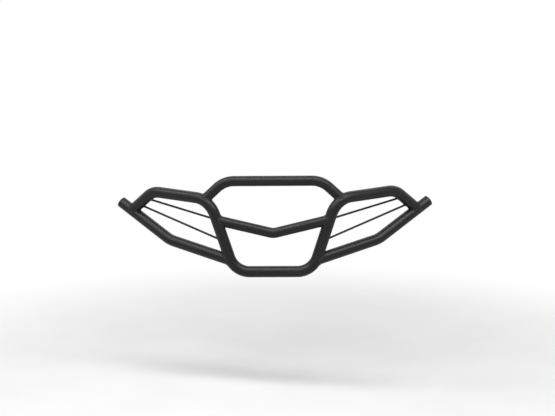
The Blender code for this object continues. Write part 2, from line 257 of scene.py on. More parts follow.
BAR_MIDDLE = from_bar(0, 0, 0)
BOTTOM = from_bar(BOTTOM_HALF, 0, 0)
SHOULDER = from_bar(SHOULDER_HALF, 0, SHOULDER_RISE)
UP = (SHOULDER - BOTTOM).normalized()
ELBOW = from_bar(ELBOW_HALF, (ELBOW_HALF - SHOULDER_HALF) * math.tan(UPPER_SWEEP), ELBOW_RISE)


def on_upright(rise):
    return BOTTOM + UP * (rise / UP.z)


ROOT = on_upright(ROOT_RISE)
KNEE_BACK = (KNEE_HALF - ROOT.x) * math.tan(INNER_SWEEP)
KNEE = from_bar(KNEE_HALF, KNEE_BACK, KNEE_RISE)
TIP = from_bar(TIP_HALF, KNEE_BACK + (TIP_HALF - KNEE_HALF) * math.tan(OUTER_SWEEP), TIP_RISE)
LEG_FOOT = toward(TIP, KNEE, TIP_OVERRUN)


def corner_arc(before, corner, after, bend_r):
    """The bend at a corner: its centre, axis, angle, and the points where it starts and ends."""
    back = (before - corner).normalized()
    ahead = (after - corner).normalized()
    half = back.angle(ahead) / 2
    centre = corner + (back + ahead).normalized() * (bend_r / math.sin(half))
    reach = bend_r / math.tan(half)
    axis = ahead.cross(back).normalized()
    return centre, axis, math.pi - 2 * half, corner + back * reach, corner + ahead * reach


def shoulder_point(share):
    """The point on the axis of the right shoulder bend at a share of the bend from the upright."""
    centre, axis, angle, start, end = corner_arc(BOTTOM, SHOULDER, ELBOW, SHOULDER_BEND)
    return centre + Matrix.Rotation(angle * share, 3, axis) @ (start - centre)


HOOP_FOOT = shoulder_point(HOOP_LANDING)
HOOP_CORNER = Vector((HOOP_HALF, HOOP_FOOT.y, HOOP_RISE + HOLE_DROP))
V_END = on_upright(V_END_RISE)
V_TIP = from_bar(0, 0, V_TIP_RISE)
LEG_WAY = (LEG_FOOT - ELBOW).normalized()
HOOP_WAY = (HOOP_FOOT - HOOP_CORNER).normalized()
V_WAY = (V_END - V_TIP).normalized()
ROOT_WAY = (ROOT - KNEE).normalized()
TIP_WAY = (TIP - KNEE).normalized()


def is_edge(item):
    return isinstance(item, bmesh.types.BMEdge)


def is_vert(item):
    return isinstance(item, bmesh.types.BMVert)


def in_order(items):
    """Each item once, in the order of the first time, so that every run gives the same mesh."""
    return list(dict.fromkeys(items))


def settle_order(shape):
    """Sort points, edges and faces by place, because operators leave them in any order."""
    for rank, vert in enumerate(sorted(shape.verts, key=lambda vert: vert.co[:])):
        vert.index = rank
    shape.verts.sort()
    for parts in (shape.edges, shape.faces):
        by_points = sorted(parts, key=lambda part: sorted(vert.index for vert in part.verts))
        for rank, part in enumerate(by_points):
            part.index = rank
        parts.sort()


def push_ring(shape, ring, way):
    """Extrude the open ring of edges by a vector, and return the new ring."""
    grown = bmesh.ops.extrude_edge_only(shape, edges=ring)["geom"]
    verts = [item for item in grown if is_vert(item)]
    bmesh.ops.translate(shape, verts=verts, vec=way)
    return [item for item in grown if is_edge(item) and all(vert in verts for vert in item.verts)]


def facing(direction):
    return direction.to_track_quat("Z", "Y").to_matrix().to_4x4()


def bent_wall(shape, corners, bend_radii, radius, sides):
    """A round wall whose straights are extruded and whose corners are spun, open at both ends."""
    here = corners[0]
    place = Matrix.Translation(here) @ facing(corners[1] - here)
    circle = bmesh.ops.create_circle(
        shape, cap_ends=False, radius=radius, segments=sides, matrix=place
    )
    first_ring = in_order(edge for vert in circle["verts"] for edge in vert.link_edges)
    ring = first_ring
    for before, corner, after, bend_r in zip(corners, corners[1:], corners[2:], bend_radii):
        centre, axis, angle, start, end = corner_arc(before, corner, after, bend_r)
        ring = push_ring(shape, ring, start - here)
        spun = bmesh.ops.spin(
            shape, geom=ring, cent=centre, axis=axis, dvec=(0, 0, 0), angle=angle,
            steps=max(FEWEST_BEND_STEPS, round(angle / BEND_STEP)),
            use_merge=False, use_duplicate=False,
        )
        ring = [item for item in spun["geom_last"] if is_edge(item)]
        here = end
    return first_ring, push_ring(shape, ring, corners[-1] - here)


def points_of(ring):
    return in_order(vert for edge in ring for vert in edge.verts)


def cap(shape, ring):
    bmesh.ops.edgeloop_fill(shape, edges=ring)


def bent_tube(corners, bend_radii, radius, bore_r=0, sides=TUBE_SIDES):
    """A bent tube with square ends, or a rod where it has no bore."""
    shape = bmesh.new()
    first_ring, last_ring = bent_wall(shape, corners, bend_radii, radius, sides)
    if bore_r:
        bent_wall(shape, corners, bend_radii, bore_r, sides)
        for ring, centre in ((first_ring, corners[0]), (last_ring, corners[-1])):
            rim = push_ring(shape, ring, (0, 0, 0))
            shrink = Matrix.Scale(bore_r / radius, 4)
            about = Matrix.Translation(centre) @ shrink @ Matrix.Translation(-centre)
            bmesh.ops.transform(shape, matrix=about, verts=points_of(rim))
        bmesh.ops.remove_doubles(shape, verts=shape.verts, dist=MERGE)
    else:
        cap(shape, first_ring)
        cap(shape, last_ring)
    bmesh.ops.recalc_face_normals(shape, faces=shape.faces)
    settle_order(shape)
    return shape


def cope(shape, end, way, met):
    """Slide the points of a square end along the tube, onto the surface that it meets."""
    for vert in shape.verts:
        reach = vert.co - end
        if abs(reach.dot(way)) < MERGE and reach.length < 2 * MAIN_R:
            place = met.ray_cast(vert.co - way * COPE_REACH, way)[0]
            if place:
                vert.co = place


def twin(shape):
    """The mirror image of a shape, for the left side."""
    other = shape.copy()
    bmesh.ops.transform(other, matrix=Matrix.Diagonal((-1, 1, 1, 1)), verts=other.verts)
    bmesh.ops.reverse_faces(other, faces=other.faces)
    return other


def add_piece(name, shape, material, nodes=(), sharp=SHARP_ANGLE):
    """Make the finished piece from its shape, and say what it rides on and stands for."""
    mesh = bpy.data.meshes.new(name)
    settle_order(shape)
    shape.to_mesh(mesh)
    shape.free()
    mesh.materials.append(material)
    mesh.shade_smooth()
    mesh.set_sharp_from_angle(angle=sharp)
    piece = bpy.data.objects.new(name, mesh)
    bpy.context.scene.collection.objects.link(piece)
    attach(piece, "root")
    if nodes:
        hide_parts(*nodes)


def add_pair(name, shape, material, nodes=(), sharp=SHARP_ANGLE):
    """Add a right-hand piece and its mirror image, each standing for its own side's nodes."""
    for side, half in (("left", twin(shape)), ("right", shape)):
        own_nodes = [f"{node}_{side}" for node in nodes]
        add_piece(f"{name}_{side}", half, material, own_nodes, sharp)


def joint_line(end, way, radius, met, count=JOINT_PLACES):
    """Where a tube meets a surface: places round it, each with the surface's and tube's normals."""
    across = way.orthogonal().normalized()
    line = []
    for k in range(count):
        spoke = Matrix.Rotation(math.tau * k / count, 3, way) @ across
        side = end + spoke * radius
        place, normal = met.ray_cast(side - way * COPE_REACH, way)[:2]
        if place is None:
            place, normal = met.find_nearest(side)[:2]
        line.append((place, normal, spoke))
    return line


def eased(line):
    """Round the corners of a closed line, as a weld does, by averaging neighbours."""
    for _ in range(EASE_ROUNDS):
        neighbours = zip(line[-1:] + line[:-1], line, line[1:] + line[:1])
        line = [[(a + 2 * b + c) / 4 for a, b, c in zip(*three)] for three in neighbours]
    return line


def evenly(line, closed):
    """The same line of places and normals, spaced evenly with a whole number of ripples."""
    if closed:
        line = line + line[:1]
    lengths = [0]
    for start, end in zip(line, line[1:]):
        lengths.append(lengths[-1] + (end[0] - start[0]).length)
    ripples = max(FEWEST_RIPPLES, round(lengths[-1] / RIPPLE_PITCH))
    count = ripples * STATIONS_PER_RIPPLE
    spaced = []
    span = 0
    for k in range(count if closed else count + 1):
        reach = lengths[-1] * k / count
        while span < len(line) - 2 and lengths[span + 1] < reach:
            span += 1
        share = (reach - lengths[span]) / (lengths[span + 1] - lengths[span])
        spaced.append([a.lerp(b, share) for a, b in zip(line[span], line[span + 1])])
    return spaced


def bead_section(line, k, bead_r, closed):
    """The matrix of the bead's section at a station: leaning, rippled, thinner at open ends."""
    count = len(line)
    before = line[k - 1 if closed or k else 0][0]
    after = line[(k + 1) % count if closed or k < count - 1 else k][0]
    ahead = (after - before).normalized()
    place, normal, own = line[k]
    across = (normal + own).cross(ahead).normalized()
    outward = ahead.cross(across)
    phase = k % STATIONS_PER_RIPPLE / STATIONS_PER_RIPPLE
    wander = BEAD_WANDER * math.sin(k * BEAD_WANDER_PACE)
    size = bead_r * (1 + RIPPLE_RISE * (0.5 - phase) + wander)
    if not closed:
        from_end = min(k, count - 1 - k)
        size *= min(1, BEAD_TIP + (1 - BEAD_TIP) * math.sqrt(from_end / STATIONS_PER_RIPPLE))
    section = Matrix((across, outward, ahead)).transposed().to_4x4()
    lean = Matrix.Rotation(BEAD_LEAN, 4, "X")
    flat = Matrix.Diagonal((size, size * BEAD_FLATNESS, size * BEAD_FLATNESS, 1))
    return Matrix.Translation(place) @ section @ lean @ flat


def weld_bead(line, bead_r, closed=True):
    """A rippled bead swept along a joint, one ring of points after another."""
    shape = bmesh.new()
    line = evenly(line, closed)
    last = bead_section(line, 0, bead_r, closed)
    bmesh.ops.create_circle(shape, cap_ends=False, radius=1, segments=BEAD_SIDES, matrix=last)
    first_ring = list(shape.edges)
    ring = first_ring
    for k in range(1, len(line)):
        section = bead_section(line, k, bead_r, closed)
        ring = push_ring(shape, ring, (0, 0, 0))
        bmesh.ops.transform(shape, matrix=section @ last.inverted(), verts=points_of(ring))
        last = section
    if closed:
        bmesh.ops.bridge_loops(shape, edges=first_ring + ring)
    else:
        cap(shape, first_ring)
        cap(shape, ring)
    bmesh.ops.recalc_face_normals(shape, faces=shape.faces)
    return shape


def new_material(name):
    material = bpy.data.materials.new(name)
    material.use_nodes = True
    return material, material.node_tree, material.node_tree.nodes["Principled BSDF"]


def noise(tree, scale, detail, stretch=(1, 1, 1)):
    """A noise on the piece's own coordinates, in metres: the larger the scale, the finer it is."""
    place = tree.nodes.new("ShaderNodeTexCoord")
    mapping = tree.nodes.new("ShaderNodeMapping")
    texture = tree.nodes.new("ShaderNodeTexNoise")
    mapping.inputs["Scale"].default_value = stretch
    texture.inputs["Scale"].default_value = scale
    texture.inputs["Detail"].default_value = detail
    tree.links.new(place.outputs["Object"], mapping.inputs["Vector"])
    tree.links.new(mapping.outputs["Vector"], texture.inputs["Vector"])
    return texture.outputs["Fac"]


def uneven(tree, factor, target, low, high):
    """Let a value of the shader wander between low and high with a noise."""
    spread = tree.nodes.new("ShaderNodeMapRange")
    spread.inputs["From Min"].default_value = NOISE_LOW
    spread.inputs["From Max"].default_value = NOISE_HIGH
    spread.inputs["To Min"].default_value = low
    spread.inputs["To Max"].default_value = high
    tree.links.new(factor, spread.inputs["Value"])
    tree.links.new(spread.outputs["Result"], target)


def two_tone(tree, factor, target, dark, light):
    """Let a colour of the shader wander between two tones with a noise."""
    ramp = tree.nodes.new("ShaderNodeValToRGB")
    ramp.color_ramp.elements[0].position = NOISE_LOW
    ramp.color_ramp.elements[0].color = (*dark, 1)
    ramp.color_ramp.elements[1].position = NOISE_HIGH
    ramp.color_ramp.elements[1].color = (*light, 1)
    tree.links.new(factor, ramp.inputs["Fac"])
    tree.links.new(ramp.outputs["Color"], target)


def relief(tree, shader, *layers):
    """Stack bumps on a shader, coarse first: each is a noise, its strength and height in metres."""
    under = None
    for height, strength, distance in layers:
        bump = tree.nodes.new("ShaderNodeBump")
        bump.inputs["Strength"].default_value = strength
        bump.inputs["Distance"].default_value = distance
        tree.links.new(height, bump.inputs["Height"])
        if under:
            tree.links.new(under, bump.inputs["Normal"])
        under = bump.outputs["Normal"]
    tree.links.new(under, shader.inputs["Normal"])


def powder_coat():
    """Satin black powder coat: softly uneven, with the fine skin that the powder leaves."""
    material, tree, shader = new_material("satin_powder_coat")
    cloud = noise(tree, scale=16, detail=4)
    two_tone(tree, cloud, shader.inputs["Base Color"], COAT_DARK, COAT_LIGHT)
    sheen = noise(tree, scale=60, detail=4)
    uneven(tree, sheen, shader.inputs["Roughness"], low=0.29, high=0.34)
    skin = noise(tree, scale=620, detail=2)
    grain = noise(tree, scale=2600, detail=1)
    relief(tree, shader, (skin, 0.30, 0.0003), (grain, 0.20, 0.0001))
    shader.inputs["Specular IOR Level"].default_value = 0.25
    return material


def coated_weld():
    """The same coat over a weld: rougher and more uneven, and lighter in places with a painted
    highlight that stands for the light the bead catches.
    """
    material, tree, shader = new_material("coated_weld")
    cloud = noise(tree, scale=90, detail=4)
    two_tone(tree, cloud, shader.inputs["Base Color"], COAT_DARK, WELD_PAINTED_HIGHLIGHT)
    sheen = noise(tree, scale=300, detail=3)
    uneven(tree, sheen, shader.inputs["Roughness"], low=0.34, high=0.46)
    skin = noise(tree, scale=700, detail=3)
    relief(tree, shader, (skin, 0.45, 0.0004))
    shader.inputs["Specular IOR Level"].default_value = 0.28
    return material


def plug_plastic():
    """Black moulded plastic with a fine even grain."""
    material, tree, shader = new_material("moulded_plug_plastic")
    cloud = noise(tree, scale=40, detail=3)
    two_tone(tree, cloud, shader.inputs["Base Color"], PLASTIC_DARK, PLASTIC_LIGHT)
    sheen = noise(tree, scale=220, detail=3)
    uneven(tree, sheen, shader.inputs["Roughness"], low=0.52, high=0.66)
    grain = noise(tree, scale=2400, detail=2)
    relief(tree, shader, (grain, 0.35, 0.0001))
    return material


def zinc_plate():
    """Bright zinc on steel fasteners: cloudy, with fine marks all one way."""
    material, tree, shader = new_material("bright_zinc")
    cloud = noise(tree, scale=260, detail=5)
    two_tone(tree, cloud, shader.inputs["Base Color"], ZINC_DARK, ZINC_LIGHT)
    sheen = noise(tree, scale=500, detail=4)
    uneven(tree, sheen, shader.inputs["Roughness"], low=0.24, high=0.46)
    marks = noise(tree, scale=1500, detail=3, stretch=(1, 1, 6))
    relief(tree, shader, (marks, 0.10, 0.0001))
    shader.inputs["Metallic"].default_value = 1
    return material


def nylon():
    """The locking ring of a nut: natural nylon, into which light sinks a little."""
    material, tree, shader = new_material("natural_nylon")
    cloud = noise(tree, scale=400, detail=3)
    two_tone(tree, cloud, shader.inputs["Base Color"], NYLON_DARK, NYLON_LIGHT)
    sheen = noise(tree, scale=900, detail=2)
    uneven(tree, sheen, shader.inputs["Roughness"], low=0.34, high=0.46)
    shader.inputs["Subsurface Weight"].default_value = 0.1
    return material


COAT = powder_coat()
WELD = coated_weld()
PLASTIC = plug_plastic()
ZINC = zinc_plate()
NYLON = nylon()


def weld(name, line, bead_r, closed=True):
    """Lay the same bead on both sides of the bumper."""
    bead = weld_bead(line, bead_r, closed)
    add_pair(name, bead, WELD, sharp=BEAD_SHARP_ANGLE)


def both_sides(half):
    """The corners of a tube that crosses the middle, from those of its right half."""
    return [mirrored(point) for point in reversed(half)] + half


def build_tubes():
    """The big tubes, coped at their ends. It returns the surfaces that welds and rods follow."""
    main_bore = MAIN_R - WALL
    brace_bore = BRACE_R - WALL
    half_bends = [BOTTOM_BEND, SHOULDER_BEND, ELBOW_BEND]
    main_line = both_sides([BOTTOM, SHOULDER, ELBOW, LEG_FOOT])
    main = bent_tube(main_line, half_bends[::-1] + half_bends, MAIN_R, main_bore)
    wing = bent_tube([ROOT, KNEE, TIP], [KNEE_BEND], MAIN_R, main_bore)
    main_surface = BVHTree.FromBMesh(main)
    wing_surface = BVHTree.FromBMesh(wing)
    wing_surface_left = BVHTree.FromBMesh(twin(wing))

    cope(main, mirrored(LEG_FOOT), mirrored(LEG_WAY), wing_surface_left)
    cope(main, LEG_FOOT, LEG_WAY, wing_surface)
    add_piece("bent_main_tube", main, COAT, ["main_tube"])

    cope(wing, ROOT, ROOT_WAY, main_surface)
    add_pair("bent_wing_tube", wing, COAT, ["lower_wing_tube"])

    hoop = bent_tube(both_sides([HOOP_CORNER, HOOP_FOOT]), [HOOP_BEND] * 2, BRACE_R, brace_bore)
    cope(hoop, mirrored(HOOP_FOOT), mirrored(HOOP_WAY), main_surface)
    cope(hoop, HOOP_FOOT, HOOP_WAY, main_surface)
    add_piece("bent_hoop", hoop, COAT, ["top_hoop"])

    v_bar = bent_tube([mirrored(V_END), V_TIP, V_END], [V_BEND], BRACE_R, brace_bore)
    cope(v_bar, mirrored(V_END), mirrored(V_WAY), main_surface)
    cope(v_bar, V_END, V_WAY, main_surface)
    add_piece("bent_v_crossbar", v_bar, COAT, ["v_crossbar"])
    return main_surface, wing_surface


def build_tube_welds(main_surface, wing_surface):
    """A bead round each end of the big tubes that stands on another tube."""
    joints = {
        "weld_hoop_foot": (HOOP_FOOT, HOOP_WAY, BRACE_R, main_surface),
        "weld_v_crossbar": (V_END, V_WAY, BRACE_R, main_surface),
        "weld_wing_root": (ROOT, ROOT_WAY, MAIN_R, main_surface),
        "weld_leg_foot": (LEG_FOOT, LEG_WAY, MAIN_R, wing_surface),
    }
    for name, joint in joints.items():
        weld(name, eased(joint_line(*joint)), BEAD_R)


def build_rods(main_surface):
    """Two rods in each wing, from the upright to the leg, with a small bead round each end."""
    for level, (rise, up_leg) in ROD_ENDS.items():
        inner = on_upright(rise)
        outer = toward(LEG_FOOT, ELBOW, up_leg)
        way = (outer - inner).normalized()
        rod = bent_tube([inner, outer], [], ROD_R, sides=ROD_SIDES)
        cope(rod, inner, -way, main_surface)
        cope(rod, outer, way, main_surface)
        add_pair(f"round_rod_{level}", rod, COAT, [f"wing_rod_{level}"])
        for end, end_way, place in ((inner, -way, "inner"), (outer, way, "outer")):
            line = joint_line(end, end_way, ROD_R, main_surface, count=ROD_JOINT_PLACES)
            weld(f"weld_rod_{level}_{place}", line, ROD_BEAD_R)


def turned(profile, closed=False, sides=FASTENER_SIDES):
    """Turn a profile of (radius, height) points about Z into a solid."""
    shape = bmesh.new()
    verts = [shape.verts.new((radius, 0, height)) for radius, height in profile]
    ends = verts[1:] + verts[:1] if closed else verts[1:]
    edges = [shape.edges.new(pair) for pair in zip(verts, ends)]
    bmesh.ops.spin(
        shape, geom=verts + edges, cent=(0, 0, 0), axis=(0, 0, 1), dvec=(0, 0, 0),
        angle=math.tau, steps=sides, use_merge=True, use_duplicate=False,
    )
    bmesh.ops.remove_doubles(shape, verts=shape.verts, dist=FINE_MERGE)
    bmesh.ops.recalc_face_normals(shape, faces=shape.faces)
    return shape


def placed(shape, matrix):
    bmesh.ops.transform(shape, matrix=matrix, verts=shape.verts)
    return shape


def build_end_plugs():
    """Domed plugs: a dome, a soft rim over the tube's end, and a hollow ribbed spigot inside it."""
    rim = SEAT_GAP + PLUG_FLANGE
    profile = [(0, rim + PLUG_DOME)]
    for k in range(1, PLUG_DOME_STEPS + 1):
        angle = math.radians(90) * (1 - k / PLUG_DOME_STEPS)
        rise = PLUG_DOME * math.sin(angle) ** PLUG_DOME_POWER
        profile.append((PLUG_DOME_R * math.cos(angle), rim + rise))
    for k in range(PLUG_EDGE_STEPS + 1):
        angle = math.radians(90) * (1 - k / PLUG_EDGE_STEPS)
        profile.append((
            MAIN_R - PLUG_EDGE * (1 - math.cos(angle)), rim - PLUG_EDGE * (1 - math.sin(angle))
        ))
    rib_r = MAIN_R - WALL - SEAT_GAP
    body_r = rib_r - PLUG_RIB_HEIGHT
    profile += [(MAIN_R, SEAT_GAP), (body_r, SEAT_GAP)]
    for rib in range(1, PLUG_RIBS + 1):
        high = PLUG_RIB_WIDTH - rib * PLUG_DEPTH / (PLUG_RIBS + 1)
        profile += [(body_r, high), (rib_r, high - PLUG_RIB_LEAD)]
        profile += [(rib_r, high - PLUG_RIB_WIDTH), (body_r, high - PLUG_RIB_FOOT)]
    inner_r = body_r - PLUG_SKIN
    profile += [(body_r, -PLUG_DEPTH), (inner_r, -PLUG_DEPTH), (inner_r, 0), (0, 0)]
    place = Matrix.Translation(TIP) @ facing(TIP_WAY)
    plug = placed(turned(profile, sides=TUBE_SIDES), place)
    add_pair("domed_plug", plug, PLASTIC, ["end_plug"])


def thickened(sheet, thick):
    """A flat or folded sheet as a plate, with half of the thickness on each side."""
    mesh = bpy.data.meshes.new("sheet")
    sheet.to_mesh(mesh)
    sheet.free()
    carrier = bpy.data.objects.new("sheet", mesh)
    bpy.context.scene.collection.objects.link(carrier)
    wall = carrier.modifiers.new("wall", "SOLIDIFY")
    wall.thickness = thick
    wall.offset = 0
    wall.use_even_offset = True
    plate = bmesh.new()
    plate.from_object(carrier, bpy.context.evaluated_depsgraph_get())
    bpy.data.objects.remove(carrier)
    bpy.data.meshes.remove(mesh)
    bmesh.ops.recalc_face_normals(plate, faces=plate.faces)
    return plate


def soften_rims(shape):
    """Break every sharp edge of a plate a little."""
    sharp = [edge for edge in shape.edges if edge.calc_face_angle(0) > RIM_ANGLE]
    bmesh.ops.bevel(
        shape, geom=sharp, offset=PLATE_EDGE, segments=RIM_STEPS, profile=0.5,
        affect="EDGES", material=-1,
    )
    return shape


def plate_from(outline, thick, place):
    """Fill an outline and its holes, give it thickness and soft rims, and put it in place."""
    bmesh.ops.triangle_fill(outline, use_beauty=True, use_dissolve=False, edges=outline.edges)
    return placed(soften_rims(thickened(outline, thick)), place)


def axes_matrix(place, x_axis, y_axis):
    columns = (x_axis, y_axis, x_axis.cross(y_axis))
    return Matrix.Translation(place) @ Matrix(columns).transposed().to_4x4()


def spun_arc(shape, start, centre, angle):
    """A wire arc in the flat, from a point round a centre. It returns its two end points."""
    first = shape.verts.new(start)
    spun = bmesh.ops.spin(
        shape, geom=[first], cent=centre, axis=(0, 0, 1), dvec=(0, 0, 0), angle=angle,
        steps=round(abs(angle) / PLATE_ARC_STEP), use_merge=False, use_duplicate=False,
    )
    return first, next(item for item in spun["geom_last"] if is_vert(item))


def round_hole(shape, centre, radius):
    place = Matrix.Translation(centre)
    bmesh.ops.create_circle(shape, radius=radius, segments=HOLE_SIDES, matrix=place)


def slot_hole(shape, centre, radius, length):
    """A round hole pulled out along local Y."""
    place = Matrix.Translation(centre) @ Matrix.Rotation(math.pi / HOLE_SIDES, 4, "Z")
    circle = bmesh.ops.create_circle(shape, radius=radius, segments=HOLE_SIDES, matrix=place)
    for vert in circle["verts"]:
        vert.co.y += math.copysign(length / 2 - radius, vert.co.y - centre[1])


def plate_outline(square_x, round_x, height, corner):
    """The outline of a plate from its square end to its rounded one, centred on local X."""
    shape = bmesh.new()
    square = [shape.verts.new((square_x, y, 0)) for y in (-height / 2, height / 2)]
    rounded = [shape.verts.new((round_x, y, 0)) for y in (height / 2, -height / 2)]
    shape.faces.new(square + rounded)
    bmesh.ops.bevel(
        shape, geom=rounded, offset=corner, segments=PLATE_CORNER_STEPS, profile=0.5,
        affect="VERTICES", material=-1,
    )
    bmesh.ops.delete(shape, geom=shape.faces[:], context="FACES_ONLY")
    return shape


LUG_AIM = math.atan2(-HOLE_DROP, HOLE_BACK)
BEND_START = corner_arc(mirrored(BOTTOM), BOTTOM, SHOULDER, BOTTOM_BEND)[3]
LUG_X = BEND_START.x - LUG_INSET - LUG_THICK / 2


def build_lower_lugs():
    """Plates with a round nose that grip the bar from behind, with a weld on each side."""
    nose_way = Vector((math.cos(LUG_AIM), math.sin(LUG_AIM), 0))
    below = Vector((nose_way.y, -nose_way.x, 0))
    bar = Vector((-HOLE_BACK, HOLE_DROP, 0))
    grip_start = bar + Matrix.Rotation(LUG_GRIP, 3, "Z") @ nose_way * (MAIN_R - PLATE_SINK)
    outline = bmesh.new()
    nose_low, nose_high = spun_arc(outline, below * LUG_NOSE, (0, 0, 0), math.pi)
    grip_high, grip_low = spun_arc(outline, grip_start, bar, -2 * LUG_GRIP)
    outline.edges.new((nose_high, grip_high))
    outline.edges.new((grip_low, nose_low))
    round_hole(outline, (0, 0, 0), LUG_HOLE_R)
    place = axes_matrix(Vector((LUG_X, 0, 0)), Vector((0, 1, 0)), Vector((0, 0, 1)))
    lug = plate_from(outline, LUG_THICK, place)
    add_pair("lug_plate", lug, COAT, ["lower_lug"])

    nose_way = Vector((0, nose_way.x, nose_way.y))
    for side, name in ((-1, "weld_lug_inner"), (1, "weld_lug_outer")):
        face = Vector((side, 0, 0))
        middle = BAR_MIDDLE + Vector((LUG_X, 0, 0)) + face * (LUG_THICK / 2)
        line = []
        for k in range(LUG_WELD_STEPS + 1):
            turn = LUG_GRIP * (1 - 2 * k / LUG_WELD_STEPS)
            spoke = Matrix.Rotation(turn, 3, "X") @ nose_way
            line.append((middle + spoke * MAIN_R, spoke, face))
        weld(name, line, PLATE_BEAD_R, closed=False)


TAB_PLANE = axes_matrix(on_upright(TAB_RISE), Vector((0, 1, 0)), UP)
TAB_NORMAL = TAB_PLANE.col[2].to_3d()
BOLT_PLACES = {"upper": BOLT_PITCH / 2, "lower": -BOLT_PITCH / 2}


def build_upper_tabs():
    """Tabs with two bolt holes, behind the uprights, with a weld on each side."""
    tab_end = MAIN_R + SEAT_GAP + TAB_DEPTH
    outline = plate_outline(MAIN_R - PLATE_SINK, tab_end, TAB_LENGTH, TAB_CORNER)
    for up in BOLT_PLACES.values():
        round_hole(outline, (MAIN_R + BOLT_BACK, up, 0), HOLE_R)
    tab = plate_from(outline, PLATE_THICK, TAB_PLANE)
    add_pair("tab_plate", tab, COAT, ["upper_tab"])

    for side, name in ((-1, "weld_tab_inner"), (1, "weld_tab_outer")):
        across = side * TAB_NORMAL
        line = []
        for k in range(TAB_WELD_STEPS + 1):
            up = TAB_LENGTH * (k / TAB_WELD_STEPS - 0.5)
            rise = on_upright(TAB_RISE) + UP * up + across * (PLATE_THICK / 2)
            line.append((rise + Vector((0, MAIN_R, 0)), Vector((0, 1, 0)), across))
        weld(name, line, PLATE_BEAD_R, closed=False)


# Heights along a bolt, from the middle of the tab's thickness
BRACKET_MIDDLE = -PLATE_THICK - SEAT_GAP
HEAD_WASHER = BRACKET_MIDDLE - PLATE_THICK / 2 - SEAT_GAP - WASHER_THICK
HEAD_SEAT = HEAD_WASHER - SEAT_GAP
NUT_WASHER = PLATE_THICK / 2 + SEAT_GAP
NUT_SEAT = NUT_WASHER + WASHER_THICK + SEAT_GAP
NUT_SHOULDER = NUT_SEAT + NUT_HEIGHT
NUT_TOP = NUT_SHOULDER + COLLAR_HEIGHT


def build_upper_brackets():
    """Straps with two bolt holes, folded outwards into a foot with a slot."""
    fold_x = BRACKET_REACH - BRACKET_FOLD
    strap = plate_outline(fold_x, MAIN_R + BRACKET_START, BRACKET_HEIGHT, BRACKET_CORNER)
    for up in BOLT_PLACES.values():
        round_hole(strap, (MAIN_R + BOLT_BACK, up, 0), HOLE_R)
    bmesh.ops.triangle_fill(strap, use_beauty=True, use_dissolve=False, edges=strap.edges)

    foot_run = BRACKET_FOOT - PLATE_THICK / 2
    foot = plate_outline(BRACKET_FOLD, foot_run, BRACKET_HEIGHT, BRACKET_CORNER)
    slot_hole(foot, ((BRACKET_FOLD + foot_run) / 2, 0, 0), HOLE_R, SLOT_LENGTH)
    bmesh.ops.triangle_fill(foot, use_beauty=True, use_dissolve=False, edges=foot.edges)
    turn = Matrix.Translation((BRACKET_REACH, 0, 0)) @ Matrix.Rotation(math.radians(-90), 4, "Y")
    placed(foot, turn)

    folded = bmesh.new()
    for flat in (strap, foot):
        mesh = bpy.data.meshes.new("flat")
        flat.to_mesh(mesh)
        flat.free()
        folded.from_mesh(mesh)
        bpy.data.meshes.remove(mesh)
    fold = Vector((fold_x, 0, 0))
    square_end = [
        edge for edge in folded.edges
        if all((vert.co - fold).xz.length < FINE_MERGE for vert in edge.verts)
    ]
    bmesh.ops.spin(
        folded, geom=square_end, cent=(fold_x, 0, BRACKET_FOLD), axis=(0, 1, 0), dvec=(0, 0, 0),
        angle=math.radians(-90), steps=FOLD_STEPS, use_merge=False, use_duplicate=False,
    )
    bmesh.ops.remove_doubles(folded, verts=folded.verts, dist=MERGE)
    bmesh.ops.recalc_face_normals(folded, faces=folded.faces)
    bracket = soften_rims(thickened(folded, PLATE_THICK))
    placed(bracket, TAB_PLANE @ Matrix.Translation((0, 0, BRACKET_MIDDLE)))
    add_pair("folded_bracket", bracket, COAT, ["upper_bracket"])


def height_key(height):
    """A height on a turned body, rounded so that it can be looked up."""
    return round(height, HEIGHT_DIGITS)


def hexed(shape, chamfers):
    """Draw the widest rings of a turned body in to a hexagon, and cut back those in chamfers."""
    for vert in shape.verts:
        reach = vert.co.xy.length
        if reach < HEX_FLATS / 2:
            continue
        angle = math.atan2(vert.co.y, vert.co.x) % math.radians(60) - math.radians(30)
        flat_r = HEX_FLATS / 2 / math.cos(angle)
        way = chamfers.get(height_key(vert.co.z), 0)
        vert.co.z += way * (flat_r - CHAMFER_R) * math.tan(CHAMFER_ANGLE)
        vert.co.x *= flat_r / reach
        vert.co.y *= flat_r / reach
    return shape


def add_thread(shape, low, high):
    """A helical ridge round the end of a bolt, spun from a small triangle."""
    foot_r = BOLT_R - THREAD_DEPTH - THREAD_SINK
    corners = [(foot_r, low), (BOLT_R, low + THREAD_FLANK), (foot_r, low + 2 * THREAD_FLANK)]
    verts = [shape.verts.new((radius, 0, height)) for radius, height in corners]
    profile = [shape.edges.new(pair) for pair in zip(verts, verts[1:] + verts[:1])]
    turns = (high - low) / THREAD_PITCH
    steps = round(turns * THREAD_STEPS)
    climb = (0, 0, THREAD_PITCH / THREAD_STEPS)
    spun = bmesh.ops.spin(
        shape, geom=profile, cent=(0, 0, 0), axis=(0, 0, 1), dvec=climb,
        angle=math.tau * steps / THREAD_STEPS, steps=steps, use_merge=False, use_duplicate=False,
    )
    cap(shape, profile)
    cap(shape, [item for item in spun["geom_last"] if is_edge(item)])
    bmesh.ops.recalc_face_normals(shape, faces=shape.faces)


